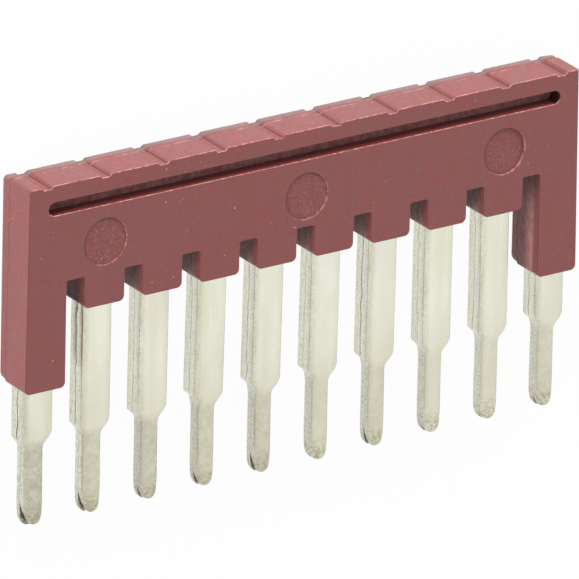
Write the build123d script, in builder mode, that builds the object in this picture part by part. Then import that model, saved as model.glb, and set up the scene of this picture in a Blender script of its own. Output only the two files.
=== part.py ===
from build123d import *
import math
import os

# A plug-in jumper bar that links a row of terminal blocks, lying on its back face.
# X runs along the row of blades, Y from the blade tips up to the grip edge,
# and Z from the back face to the front face. The origin is under the middle of the bar.
# All sizes are in millimetres.

# The row
pole_count = 10
pole_pitch = 5.2

# The strip: one comb, folded lengthwise over itself, so each blade is two leaves
leaf_thickness = 0.8
leaf_gap = 0.12
blade_width = 2.65
blade_edge_radius = 0.12
web_height = 4.0
shoulder_height = 1.25
shaft_width = 1.44
shaft_leaf_thickness = 0.74
shaft_edge_radius = 0.35
nose_height = 1.2
nose_width = 0.55
nose_thickness = 1.3
tip_split_height = 1.9
tip_split_opening = 0.36

# How far the strip reaches below the feet of the end legs
blade_reach = 3.75
tip_reach = 11.6

# The moulding round the strip
front_wall = 0.97
back_wall = 1.31
side_wall = 0.47
body_height = 16.7
end_lean = 0.22
tooth_rise = 6.05
notch_rise = 8.7
moulding_gap = 0.02

# Edges and corners of the moulding, which is rounder behind its parting line
front_corner_radius = 0.45
grip_corner_radius = 0.2
back_corner_radius = 0.75
back_edge_radius = 0.5
notch_corner_radius = 0.15
parting_height = 1.1
parting_step = 0.03

# The long slot in the front face, with round ends
slot_height = 1.1
slot_depth = 1.25
slot_cover = 1.36
slot_end_margin = 1.9
slot_floor_wall = 0.8

# Shallow grooves across the grip edge, one above each blade
groove_width = 1.1
groove_floor_width = 0.65
groove_depth = 0.22

# Round marks left by the ejector pins, and the broken-off gate
ejector_diameter = 3.8
ejector_depth = 0.05
ejector_cover = 5.45
ejector_spacing_poles = 3.5
gate_width = 1.1
gate_depth = 0.16
gate_shift = -0.4

# Thicknesses through the bar
blade_thickness = 2 * leaf_thickness + leaf_gap
shaft_thickness = 2 * shaft_leaf_thickness
body_thickness = front_wall + blade_thickness + back_wall
strip_mid_z = back_wall + blade_thickness / 2

# Heights along Y, with the whole part centred on the origin
overall_height = body_height + tip_reach
tip_y = -overall_height / 2
foot_y = tip_y + tip_reach
grip_y = foot_y + body_height
tooth_y = foot_y + tooth_rise
notch_y = foot_y + notch_rise
blade_end_y = foot_y - blade_reach
shaft_y = blade_end_y - shoulder_height
nose_y = tip_y + nose_height
slot_y = grip_y - slot_cover - slot_height / 2
fold_y = slot_y - slot_height / 2 - slot_floor_wall
fold_centre_y = fold_y - blade_thickness / 2
web_y = fold_y - web_height
ejector_y = grip_y - ejector_cover

# Widths along X
row_length = (pole_count - 1) * pole_pitch
tooth_width = blade_width + 2 * side_wall
notch_width = pole_pitch - tooth_width
foot_length = row_length + tooth_width
grip_length = foot_length - 2 * end_lean
leg_gap = row_length - tooth_width
web_length = row_length + blade_width
slot_length = foot_length - 2 * slot_end_margin

# Sections of the bullet nose, as shares of its height
nose_steps = (0, 0.75, 1)


def across(y):
    """A plane across the blades at height y, with its own X along the row."""
    return Plane(origin=(0, y, strip_mid_z), x_dir=(1, 0, 0), z_dir=(0, -1, 0))


def blend(start, end, share):
    """A size part of the way from start to end."""
    return start + (end - start) * share


# One blade: two leaves wide, drawn in at the shoulder to a coined shaft with a bullet nose
with BuildPart() as blade:
    with BuildSketch(across(fold_centre_y)):
        RectangleRounded(blade_width, blade_thickness, blade_edge_radius)
    extrude(amount=fold_centre_y - blade_end_y)
    with BuildSketch(across(blade_end_y)):
        RectangleRounded(blade_width, blade_thickness, blade_edge_radius)
    with BuildSketch(across(shaft_y)):
        RectangleRounded(shaft_width, shaft_thickness, shaft_edge_radius)
    loft(ruled=True)
    with BuildSketch(across(shaft_y)):
        RectangleRounded(shaft_width, shaft_thickness, shaft_edge_radius)
    extrude(amount=shaft_y - nose_y)
    for step in nose_steps:
        ease = 1 - math.sqrt(1 - step * step)
        nose_share = blend(1, nose_width / shaft_width, ease)
        with BuildSketch(across(blend(nose_y, tip_y, step))):
            RectangleRounded(
                shaft_width * nose_share,
                blend(shaft_thickness, nose_thickness, ease),
                shaft_edge_radius * nose_share,
            )
    loft(ruled=True)


# The stamped and folded strip: the web with its fold at the top, and a blade at each pole
with BuildPart() as contact_comb:
    with BuildSketch(Plane.YZ.offset(-web_length / 2)):
        with Locations(((web_y + fold_centre_y) / 2, strip_mid_z)):
            Rectangle(fold_centre_y - web_y, blade_thickness)
        with Locations((fold_centre_y, strip_mid_z)):
            Circle(blade_thickness / 2)
    extrude(amount=web_length)
    with GridLocations(pole_pitch, pole_pitch, pole_count, 1):
        add(blade.part)
    # The leaves stay a little apart from the fold down to the shoulder
    with BuildSketch(Plane.YZ.offset(-web_length / 2)):
        with Locations(((shaft_y + fold_centre_y) / 2, strip_mid_z)):
            Rectangle(fold_centre_y - shaft_y, leaf_gap)
        with Locations((fold_centre_y, strip_mid_z)):
            Circle(leaf_gap / 2)
    extrude(amount=web_length, mode=Mode.SUBTRACT)
    # The tips open again in a narrow vee
    with BuildSketch(Plane.YZ.offset(-web_length / 2)):
        with BuildLine():
            Polyline(
                (tip_y + tip_split_height, strip_mid_z),
                (tip_y, strip_mid_z - tip_split_opening / 2),
                (tip_y, strip_mid_z + tip_split_opening / 2),
                close=True,
            )
        make_face()
    extrude(amount=web_length, mode=Mode.SUBTRACT)

contact_comb.part.label = "contact_comb"


def moulding_outline(corner_radius, top_corner_radius):
    """The moulding seen from the front: a bar with two end legs, and teeth between notches."""
    with BuildSketch() as outline:
        with BuildLine():
            Polyline(
                (-foot_length / 2, foot_y),
                (foot_length / 2, foot_y),
                (grip_length / 2, grip_y),
                (-grip_length / 2, grip_y),
                close=True,
            )
        make_face()
        with Locations((0, (foot_y + tooth_y) / 2)):
            Rectangle(leg_gap, tooth_rise, mode=Mode.SUBTRACT)
        with Locations((0, (foot_y + notch_y) / 2)):
            with GridLocations(pole_pitch, pole_pitch, pole_count - 1, 1):
                Rectangle(notch_width, notch_rise, mode=Mode.SUBTRACT)
        corner_radii = {foot_y: corner_radius, tooth_y: corner_radius, grip_y: top_corner_radius}
        for corner_y, radius in corner_radii.items():
            fillet(outline.vertices().filter_by_position(Axis.Y, corner_y, corner_y), radius)
    return outline.sketch


# The hollow that the strip fills: the web and the covered length of every blade
with BuildPart() as strip_hollow:
    with BuildSketch(Plane.YZ.offset(-web_length / 2 - moulding_gap)):
        with Locations(((web_y - moulding_gap + fold_centre_y) / 2, strip_mid_z)):
            Rectangle(fold_centre_y - web_y + moulding_gap, blade_thickness + 2 * moulding_gap)
        with Locations((fold_centre_y, strip_mid_z)):
            Circle(blade_thickness / 2 + moulding_gap)
    extrude(amount=web_length + 2 * moulding_gap)
    with BuildSketch(across(fold_centre_y)):
        with GridLocations(pole_pitch, pole_pitch, pole_count, 1):
            Rectangle(blade_width + 2 * moulding_gap, blade_thickness + 2 * moulding_gap)
    extrude(amount=fold_centre_y - blade_end_y)


# The moulding, in two bands that meet at the parting line
with BuildPart() as housing:
    with BuildSketch():
        add(moulding_outline(back_corner_radius, back_corner_radius))
        offset(amount=-parting_step, kind=Kind.INTERSECTION, mode=Mode.REPLACE)
    extrude(amount=parting_height)
    fillet(housing.edges().group_by(Axis.Z)[0], back_edge_radius)
    with BuildSketch(Plane.XY.offset(parting_height)) as front_outline:
        add(moulding_outline(front_corner_radius, grip_corner_radius))
        notch_corners = front_outline.vertices().filter_by_position(Axis.Y, notch_y, notch_y)
        fillet(notch_corners, notch_corner_radius)
    extrude(amount=body_thickness - parting_height)
    # Grooves across the grip edge
    with BuildSketch():
        with Locations((0, grip_y)):
            with GridLocations(pole_pitch, pole_pitch, pole_count, 1):
                Polygon(
                    (-groove_width / 2, 0),
                    (-groove_floor_width / 2, -groove_depth),
                    (groove_floor_width / 2, -groove_depth),
                    (groove_width / 2, 0),
                    align=None,
                )
    extrude(amount=body_thickness, mode=Mode.SUBTRACT)
    # Long slot in the front face
    with BuildSketch(Plane.XY.offset(body_thickness - slot_depth)):
        with Locations((0, slot_y)):
            SlotOverall(slot_length, slot_height)
    extrude(amount=slot_depth, mode=Mode.SUBTRACT)
    # Ejector-pin marks
    with BuildSketch(Plane.XY.offset(body_thickness - ejector_depth)):
        with Locations((0, ejector_y)):
            with GridLocations(ejector_spacing_poles * pole_pitch, pole_pitch, 3, 1):
                Circle(ejector_diameter / 2)
    extrude(amount=ejector_depth, mode=Mode.SUBTRACT)
    # Scar of the gate in the back edge of the grip
    with BuildSketch(Plane.XY):
        with Locations((gate_shift, grip_y)):
            Ellipse(gate_width / 2, gate_depth)
    extrude(amount=parting_height, mode=Mode.SUBTRACT)
    add(strip_hollow.part, mode=Mode.SUBTRACT)

housing.part.label = "housing"


os.makedirs("parts", exist_ok=True)
export_step(housing.part, "parts/housing.step")
export_step(contact_comb.part, "parts/contact_comb.step")
print("bar", round(foot_length, 2), "long,", round(overall_height, 2), "high,", round(body_thickness, 2), "thick")
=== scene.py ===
# %% [markdown]
# # A jumper bar for terminal blocks
# The real object is a flat dark red moulding round a tin-plated metal comb. Pushed into a row of
# terminal blocks, its ten blades link them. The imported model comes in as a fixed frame, and two
# finer pieces are built round it: the moulding and the comb. The frame is in metres.

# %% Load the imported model
import math
import bmesh
import bpy
from mathutils import Euler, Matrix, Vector, noise


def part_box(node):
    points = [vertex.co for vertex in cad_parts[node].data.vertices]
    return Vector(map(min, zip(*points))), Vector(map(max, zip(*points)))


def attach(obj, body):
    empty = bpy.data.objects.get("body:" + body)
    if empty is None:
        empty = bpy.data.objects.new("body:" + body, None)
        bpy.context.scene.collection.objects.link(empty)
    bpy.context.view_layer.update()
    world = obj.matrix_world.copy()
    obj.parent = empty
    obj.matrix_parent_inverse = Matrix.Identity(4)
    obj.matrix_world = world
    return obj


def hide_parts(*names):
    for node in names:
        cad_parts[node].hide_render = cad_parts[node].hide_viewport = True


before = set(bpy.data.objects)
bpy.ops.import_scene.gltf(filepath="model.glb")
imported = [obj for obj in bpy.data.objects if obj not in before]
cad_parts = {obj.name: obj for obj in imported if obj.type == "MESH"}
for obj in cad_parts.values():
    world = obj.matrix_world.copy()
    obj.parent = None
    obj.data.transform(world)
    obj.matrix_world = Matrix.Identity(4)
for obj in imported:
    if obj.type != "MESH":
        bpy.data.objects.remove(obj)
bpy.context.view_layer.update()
MM = 0.001
print("nodes:", sorted(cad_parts))

# %% [markdown]
# ## The camera
# The photograph was taken with a long lens from the upper left. The place, the turn and the focal
# length come from a fit of many corners of the bar, with the focal length left free, because the
# lines of the bar hardly converge.

# %% Make the camera
CAMERA_PLACE = Vector((-549.506, 409.461, 831.063)) * MM
CAMERA_TURN_DEGREES = (-23.1118, -33.05542, 1.36539)
CAMERA_LENS = 871.656
NEAREST_SEEN = 100 * MM
FARTHEST_SEEN = 5000 * MM

camera_data = bpy.data.cameras.new("photo_camera")
camera_data.lens = CAMERA_LENS
camera_data.clip_start = NEAREST_SEEN
camera_data.clip_end = FARTHEST_SEEN
camera = bpy.data.objects.new("photo_camera", camera_data)
camera.location = CAMERA_PLACE
camera.rotation_euler = Euler([math.radians(angle) for angle in CAMERA_TURN_DEGREES])
bpy.context.scene.collection.objects.link(camera)
bpy.context.scene.camera = camera
bpy.context.scene.view_settings.view_transform = "Standard"
print("camera", round(CAMERA_PLACE.length / MM), "mm from the bar")

# %% [markdown]
# ## Studio light
# The photograph is a soft product shot: the grip edge is the brightest side, then the left end,
# then the front. Two large lamps low over the table do that, and a weak third one lights the right.
# They don't show in reflections, because the metal has no hard highlights.

# %% Lamps
LAMP_DISTANCE = 0.5
LAMP_WIDTH = 0.9
LAMP_HEIGHT = 0.36
LAMPS = (
    ("grip_side_lamp", (0.2, 1.0, 0.14), 7.5),
    ("left_lamp", (-1.0, 0.0, 0.14), 4.8),
    ("right_lamp", (1.0, -0.2, 0.22), 1.5),
)


def soft_lamp(name, direction, watts):
    """A wide soft lamp that looks at the middle of the bar from a direction."""
    lamp_data = bpy.data.lights.new(name, "AREA")
    lamp_data.shape = "RECTANGLE"
    lamp_data.size = LAMP_WIDTH
    lamp_data.size_y = LAMP_HEIGHT
    lamp_data.energy = watts
    lamp = bpy.data.objects.new(name, lamp_data)
    lamp.location = Vector(direction).normalized() * LAMP_DISTANCE
    lamp.rotation_euler = Vector(direction).to_track_quat("Z", "Y").to_euler()
    lamp.visible_glossy = False
    bpy.context.scene.collection.objects.link(lamp)
    print(name, watts, "W")


for lamp_facts in LAMPS:
    soft_lamp(*lamp_facts)

# %% [markdown]
# The background is pure white. So camera rays and reflections meet a white sky, while the light
# that falls on the bar comes from a dimmer one.

# %% Sky
SKY_LEVEL = 0.5
WHITE = (1, 1, 1, 1)
SEEN_RAYS = ("Is Camera Ray", "Is Glossy Ray", "Is Transmission Ray")

world = bpy.data.worlds.new("studio_sky")
world.use_nodes = True
bpy.context.scene.world = world
sky_nodes = world.node_tree.nodes
sky_links = world.node_tree.links
sky_nodes.clear()
sky_output = sky_nodes.new("ShaderNodeOutputWorld")
sky_mix = sky_nodes.new("ShaderNodeMixShader")


def seen_ray(nodes, links):
    """One where a ray comes from the camera, a reflection or a clear material, else nought."""
    path = nodes.new("ShaderNodeLightPath")
    seen = path.outputs[SEEN_RAYS[0]]
    for ray in SEEN_RAYS[1:]:
        either = nodes.new("ShaderNodeMath")
        either.operation = "MAXIMUM"
        links.new(seen, either.inputs[0])
        links.new(path.outputs[ray], either.inputs[1])
        seen = either.outputs[0]
    return seen


def white_sky(strength):
    sky = sky_nodes.new("ShaderNodeBackground")
    sky.inputs["Color"].default_value = WHITE
    sky.inputs["Strength"].default_value = strength
    return sky.outputs[0]


sky_links.new(seen_ray(sky_nodes, sky_links), sky_mix.inputs[0])
sky_links.new(white_sky(SKY_LEVEL), sky_mix.inputs[1])
sky_links.new(white_sky(1.0), sky_mix.inputs[2])
sky_links.new(sky_mix.outputs[0], sky_output.inputs[0])
print("sky level for light:", SKY_LEVEL)

# %% [markdown]
# The bar lies on a plain pale table, 0.02 mm below its back face so that the two surfaces don't
# coincide.

# %% Table
TABLE_SIZE = 2.0
TABLE_DROP = 0.02 * MM

table_mesh = bpy.data.meshes.new("table")
table_shape = bmesh.new()
bmesh.ops.create_grid(table_shape, x_segments=1, y_segments=1, size=TABLE_SIZE / 2)
bmesh.ops.translate(table_shape, verts=table_shape.verts, vec=(0, 0, -TABLE_DROP))
table_shape.to_mesh(table_mesh)
table_shape.free()
table = bpy.data.objects.new("table", table_mesh)
bpy.context.scene.collection.objects.link(table)
print("table", TABLE_SIZE, "m wide")

# %% [markdown]
# Most of what the camera sees of the table is plain white, and the rest is a matt surface that
# still shows a faint shadow. Light that bounces meets only the matt surface.

# %% Table paint
TABLE_COLOUR = (0.8, 0.8, 0.8, 1)
TABLE_WHITE_SHARE = 0.96

table_paint = bpy.data.materials.new("table_paint")
table_paint.use_nodes = True
table_nodes = table_paint.node_tree.nodes
table_links = table_paint.node_tree.links
table_nodes.clear()
table_output = table_nodes.new("ShaderNodeOutputMaterial")
table_matt = table_nodes.new("ShaderNodeBsdfDiffuse")
table_matt.inputs["Color"].default_value = TABLE_COLOUR
table_white = table_nodes.new("ShaderNodeEmission")
table_white.inputs["Color"].default_value = WHITE
table_white.inputs["Strength"].default_value = 1.0
table_share = table_nodes.new("ShaderNodeMath")
table_share.operation = "MULTIPLY"
table_share.inputs[1].default_value = TABLE_WHITE_SHARE
table_mix = table_nodes.new("ShaderNodeMixShader")
table_links.new(seen_ray(table_nodes, table_links), table_share.inputs[0])
table_links.new(table_share.outputs[0], table_mix.inputs[0])
table_links.new(table_matt.outputs[0], table_mix.inputs[1])
table_links.new(table_white.outputs[0], table_mix.inputs[2])
table_links.new(table_mix.outputs[0], table_output.inputs[0])
table_mesh.materials.append(table_paint)
print("white share of the table:", TABLE_WHITE_SHARE)


# %% [markdown]
# ## A short way to write a material
# Both finishes are built from shader nodes. This class adds a node, sets what is constant and links
# what varies. Scales are in features per metre, so 1000 gives features of about a millimetre.

# %% Material helper
class Finish:
    """A material under construction."""

    def __init__(self, name):
        self.material = bpy.data.materials.new(name)
        self.material.use_nodes = True
        self.nodes = self.material.node_tree.nodes
        self.links = self.material.node_tree.links
        self.shader = self.nodes["Principled BSDF"]
        self.place = self.nodes.new("ShaderNodeTexCoord").outputs["Object"]

    def set(self, node, sockets):
        """Links sockets to what varies, and sets them to what is constant."""
        for name, value in sockets.items():
            if isinstance(value, bpy.types.NodeSocket):
                self.links.new(value, node.inputs[name])
            else:
                node.inputs[name].default_value = value

    def stretched(self, stretch):
        """The object's own coordinates; a pattern is drawn out where stretch is below one."""
        if stretch is None:
            return self.place
        mapping = self.nodes.new("ShaderNodeMapping")
        self.set(mapping, {"Vector": self.place, "Scale": stretch})
        return mapping.outputs["Vector"]

    def noise(self, scale, detail, roughness, stretch=None):
        """Cloudy noise, mostly between 0.3 and 0.7."""
        texture = self.nodes.new("ShaderNodeTexNoise")
        self.set(texture, {"Vector": self.stretched(stretch), "Scale": scale})
        self.set(texture, {"Detail": detail, "Roughness": roughness})
        return texture.outputs["Fac"]

    def dots(self, scale, stretch=None):
        """Distance from scattered points, and a random number for each of them."""
        texture = self.nodes.new("ShaderNodeTexVoronoi")
        self.set(texture, {"Vector": self.stretched(stretch), "Scale": scale})
        return texture.outputs["Distance"], texture.outputs["Color"]

    def part_of(self, vector, axis):
        """The X, Y or Z part of a vector."""
        node = self.nodes.new("ShaderNodeSeparateXYZ")
        self.set(node, {"Vector": vector})
        return node.outputs[axis]

    def facing_grip(self):
        """One on faces that look along Y towards the grip edge, nought elsewhere."""
        normal = self.nodes.new("ShaderNodeTexCoord").outputs["Normal"]
        return self.rescale(self.part_of(normal, "Y"), 0.5, 0.8)

    def attribute(self, name):
        """A number that the mesh carries in a layer of this name."""
        node = self.nodes.new("ShaderNodeAttribute")
        node.attribute_name = name
        return node.outputs["Fac"]

    def rescale(self, value, low, high, new_low=0.0, new_high=1.0):
        """A value between low and high becomes one between the new limits."""
        node = self.nodes.new("ShaderNodeMapRange")
        self.set(node, {"Value": value, "From Min": low, "From Max": high})
        self.set(node, {"To Min": new_low, "To Max": new_high})
        return node.outputs["Result"]

    def patches(self, scale, detail, roughness, low, high, least=0.0, most=1.0, stretch=None):
        """Noise whose values from low to high become shares from least to most."""
        return self.rescale(self.noise(scale, detail, roughness, stretch), low, high, least, most)

    def maths(self, operation, first, second=0.0, third=0.0):
        node = self.nodes.new("ShaderNodeMath")
        node.operation = operation
        self.set(node, {0: first, 1: second, 2: third})
        return node.outputs[0]

    def times(self, first, second):
        return self.maths("MULTIPLY", first, second)

    def larger(self, first, second):
        return self.maths("MAXIMUM", first, second)

    def band(self, value, middle, half_width, fade):
        """One where value is near middle, falling to nought over the fade."""
        off = self.maths("ABSOLUTE", self.maths("SUBTRACT", value, middle))
        return self.rescale(off, half_width, half_width + fade, 1.0, 0.0)

    def blend(self, share, first, second):
        node = self.nodes.new("ShaderNodeMix")
        node.data_type = "RGBA"
        self.set(node, {0: share, 6: first, 7: second})
        return node.outputs[2]

    def bump(self, height, strength, distance):
        node = self.nodes.new("ShaderNodeBump")
        self.set(node, {"Height": height, "Strength": strength, "Distance": distance})
        return node.outputs["Normal"]


print("finish helper ready")

# %% [markdown]
# ## The red plastic
# Matt polyamide, coloured in the mass: a brownish red with grey clouds, a fine grain and pale
# flecks. One red with a bump would look like paint, so several colours are laid over each other,
# each where noise or a number on the mesh says.

# %% Colours of the plastic
RED = (0.235, 0.054, 0.05, 1)
GREY_RED = (0.18, 0.074, 0.07, 1)
DEEP_RED = (0.17, 0.026, 0.024, 1)
DARK_RED = (0.03, 0.004, 0.004, 1)
PALE_PINK = (0.66, 0.33, 0.3, 1)
FLECK_PINK = (0.6, 0.36, 0.33, 1)
SLOT_FLOOR_PAINTED_LIGHT = (0.36, 0.17, 0.16, 1)
SLOT_RED = (0.15, 0.014, 0.012, 1)
NOTCH_PAINTED_REFLECTION = (0.32, 0.145, 0.14, 1)
NOTCH_PAINTED_SHADE = (0.07, 0.032, 0.032, 1)
LEG_WALL_PAINTED_LIGHT = (0.42, 0.115, 0.105, 1)
BACK_FACE_GREY = (0.18, 0.12, 0.115, 1)

plastic_finish = Finish("grained_red_plastic")
print("finish:", plastic_finish.material.name)

# %% [markdown]
# Noise at four scales gives the clouds, the blotches, the streaks and the grain, which is stronger
# on the floors of the ejector marks. Scattered dots give the flecks, and each one's random number
# decides whether it shows.

# %% Colour in the mass
STREAK_SHARE = 0.2
PLAIN_GRAIN = 0.62
MARK_GRAIN = 0.95
FLECKS = (
    {"scale": 1100, "least_chance": 0.55, "radius": 0.11},
    {"scale": 2600, "least_chance": 0.62, "radius": 0.14},
)


def mass_colour(finish):
    """The plain plastic, and the grain that its bump reads too."""
    mark = finish.attribute("mark")
    clouds = finish.patches(420, 4, 0.55, low=0.38, high=0.62, least=0.15, most=0.75)
    blotches = finish.patches(1500, 3, 0.6, low=0.4, high=0.66, most=0.6)
    streaks = finish.patches(900, 3, 0.6, low=0.3, high=0.7, stretch=(1, 0.25, 1))
    grain = finish.noise(6500, 4, 0.75)
    colour = finish.blend(clouds, RED, GREY_RED)
    colour = finish.blend(finish.times(streaks, STREAK_SHARE), colour, DEEP_RED)
    colour = finish.blend(blotches, colour, GREY_RED)
    grain_share = finish.rescale(mark, 0.0, 1.0, PLAIN_GRAIN, MARK_GRAIN)
    grain_share = finish.times(finish.rescale(grain, 0.38, 0.62), grain_share)
    colour = finish.blend(grain_share, colour, DEEP_RED)
    for kind in FLECKS:
        distance, chance = finish.dots(kind["scale"])
        least = kind["least_chance"]
        reach = finish.rescale(chance, least, 1.0, 0.0, kind["radius"])
        strength = finish.rescale(chance, least, 0.9, 0.2, 0.8)
        fleck = finish.times(finish.maths("LESS_THAN", distance, reach), strength)
        colour = finish.blend(fleck, colour, FLECK_PINK)
    speck = finish.patches(5200, 2, 0.6, low=0.56, high=0.68, most=0.16)
    return finish.blend(finish.times(speck, mark), colour, FLECK_PINK), grain


plastic_colour, plastic_grain = mass_colour(plastic_finish)
print("nodes for the colour in the mass:", len(plastic_finish.nodes))

# %% [markdown]
# The slot floor is painted a lighter brown that stands in for light, with dark red patches, and its
# walls get painted shade. The walls of the notches get a painted grey reflection with patches of
# painted shade, and near the front it gives way to dark red. The inner wall of the right leg has
# half their number, a lighter red of painted light, and painted shade near the front.

# %% Slot, notches and creases
FRONT_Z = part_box("housing")[1].z
LIT_FROM = FRONT_Z - 0.9 * MM
LIT_FULLY = FRONT_Z - 0.5 * MM
LEG_WALL_NUMBER = 0.5
LEG_WALL_RED_SHARE = 0.25
LEG_WALL_FRONT_SHARE = 0.6


def recess_colour(finish, colour):
    height = finish.part_of(finish.place, "Z")
    slot_floor = finish.attribute("slot_floor")
    notch = finish.attribute("notch")
    # Painted light: a lighter brown on the slot floor, with dark red patches.
    colour = finish.blend(slot_floor, colour, SLOT_FLOOR_PAINTED_LIGHT)
    dark_patches = finish.patches(1900, 4, 0.7, low=0.42, high=0.6, most=0.45)
    colour = finish.blend(finish.times(dark_patches, slot_floor), colour, SLOT_RED)
    # Painted shade on the slot walls.
    colour = finish.blend(finish.attribute("slot_wall"), colour, SLOT_RED)
    walls = finish.rescale(notch, 0.0, LEG_WALL_NUMBER)
    # Painted reflection of the white table on the notch walls, with patches of painted shade.
    colour = finish.blend(walls, colour, NOTCH_PAINTED_REFLECTION)
    shade = finish.patches(2400, 4, 0.7, low=0.4, high=0.62, most=0.7, stretch=(1, 0.5, 1))
    colour = finish.blend(finish.times(shade, walls), colour, NOTCH_PAINTED_SHADE)
    # Near the front the painted reflection gives way to dark red.
    near_front = finish.rescale(height, LIT_FROM, LIT_FULLY, 0.0, 0.85)
    colour = finish.blend(finish.times(near_front, walls), colour, SLOT_RED)
    # Painted light on the inner wall of the right leg, a lighter red, and painted shade near the
    # front.
    leg_wall = finish.band(notch, LEG_WALL_NUMBER, 0.1, 0.1)
    colour = finish.blend(finish.times(leg_wall, LEG_WALL_RED_SHARE), colour, LEG_WALL_PAINTED_LIGHT)
    near_front = finish.times(near_front, LEG_WALL_FRONT_SHARE)
    colour = finish.blend(finish.times(leg_wall, near_front), colour, DARK_RED)
    # Painted shade in the groove corners, on left-looking front edges and at the slot's right end.
    return finish.blend(finish.attribute("crease_shade"), colour, DARK_RED)


plastic_colour = recess_colour(plastic_finish, plastic_colour)
print("nodes with the recesses:", len(plastic_finish.nodes))

# %% [markdown]
# Two halves of a mould met here. It shows as a thin dark line with a patchy pale lip in front, a
# painted highlight on the faces towards the grip, and a greyer band behind, towards the back face.
# Height above the back face places all three, so no layer is needed.

# %% Parting line
PARTING_Z = 1.1 * MM
LINE_HALF, LINE_FADE = 0.04 * MM, 0.05 * MM
LIP_ABOVE, LIP_HALF, LIP_FADE = 0.14 * MM, 0.03 * MM, 0.04 * MM
BAND_FULL, BAND_END = 0.62 * MM, 0.8 * MM
BACK_FACE_FULL, BACK_FACE_END = 0.15 * MM, 0.4 * MM


def parting_colour(finish, colour):
    height = finish.part_of(finish.place, "Z")
    on_grip = finish.facing_grip()
    # A greyer band towards the back face: on the faces towards the grip up to 0.8 mm, all round up
    # to 0.4 mm.
    back_band = finish.times(finish.rescale(height, BAND_FULL, BAND_END, 0.8, 0.0), on_grip)
    back_face_band = finish.rescale(height, BACK_FACE_FULL, BACK_FACE_END, 0.75, 0.0)
    colour = finish.blend(finish.larger(back_face_band, back_band), colour, BACK_FACE_GREY)
    line = finish.band(height, PARTING_Z, LINE_HALF, LINE_FADE)
    line = finish.times(line, finish.rescale(on_grip, 0.0, 1.0, 0.7, 0.3))
    colour = finish.blend(line, colour, DARK_RED)
    # Painted highlight: a patchy pale lip above the parting line on the faces towards the grip.
    lip = finish.band(height, PARTING_Z + LIP_ABOVE, LIP_HALF, LIP_FADE)
    patchy = finish.patches(1100, 3, 0.7, low=0.48, high=0.6, most=0.6)
    return finish.blend(finish.times(lip, finish.times(patchy, on_grip)), colour, PALE_PINK)


plastic_colour = parting_colour(plastic_finish, plastic_colour)
print("nodes with the parting line:", len(plastic_finish.nodes))

# %% [markdown]
# Ejector pins left three round marks. Their rims are too low to catch light, so their light is
# painted: a painted shadow inside the circle at the upper left, and a painted highlight, pale and
# broken, outside it at the lower right. X is wrapped, so one circle serves all.

# %% Rims of the ejector marks
MARK_SPACING = 18.2 * MM
MARK_Y = 8.7 * MM
MARK_RADIUS = 1.9 * MM
PALE_RADIUS, PALE_HALF, PALE_FADE = MARK_RADIUS + 0.04 * MM, 0.02 * MM, 0.05 * MM
DARK_RADIUS, DARK_HALF, DARK_FADE = MARK_RADIUS - 0.06 * MM, 0.03 * MM, 0.06 * MM
DARK_RIM_SHARE = 0.6
PALE_FROM, PALE_FULLY = -0.3 * MM, 1.6 * MM
DARK_FROM, DARK_FULLY = 0.6 * MM, -1.4 * MM


def rim_colour(finish, colour):
    from_mark_x = finish.part_of(finish.place, "X")
    from_mark_x = finish.maths("WRAP", from_mark_x, MARK_SPACING / 2, -MARK_SPACING / 2)
    from_mark_y = finish.maths("SUBTRACT", finish.part_of(finish.place, "Y"), MARK_Y)
    squares = [finish.maths("POWER", offset, 2.0) for offset in (from_mark_x, from_mark_y)]
    radius = finish.maths("SQRT", finish.maths("ADD", *squares))
    aslant = finish.maths("SUBTRACT", from_mark_x, from_mark_y)
    height = finish.part_of(finish.place, "Z")
    on_front = finish.rescale(height, FRONT_Z - 0.2 * MM, FRONT_Z - 0.18 * MM)
    broken = finish.patches(2600, 3, 0.7, low=0.42, high=0.6, most=0.6)
    # Painted highlight, pale and broken, outside the circle at the lower right.
    pale = finish.band(radius, PALE_RADIUS, PALE_HALF, PALE_FADE)
    pale = finish.times(pale, finish.times(broken, on_front))
    pale = finish.times(pale, finish.rescale(aslant, PALE_FROM, PALE_FULLY))
    # Painted shadow inside the circle at the upper left.
    dark = finish.band(radius, DARK_RADIUS, DARK_HALF, DARK_FADE)
    dark = finish.times(dark, finish.times(on_front, DARK_RIM_SHARE))
    dark = finish.times(dark, finish.rescale(aslant, DARK_FROM, DARK_FULLY))
    colour = finish.blend(dark, colour, DARK_RED)
    return finish.blend(pale, colour, PALE_PINK)


plastic_colour = rim_colour(plastic_finish, plastic_colour)
print("nodes with the rims:", len(plastic_finish.nodes))

# %% [markdown]
# Last come the pale edges, partly rubbed and partly painted highlight, and the surface: half matt,
# with a grained bump and a little light that travels under the skin. Recesses get less gloss, or
# the white sky would shine in them.

# %% Wear, gloss and bump
OPEN_GLOSS = 0.5
HIDDEN_GLOSS = 0.06
HIDDEN_LAYERS = ("slot_floor", "crease_shade")


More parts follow.
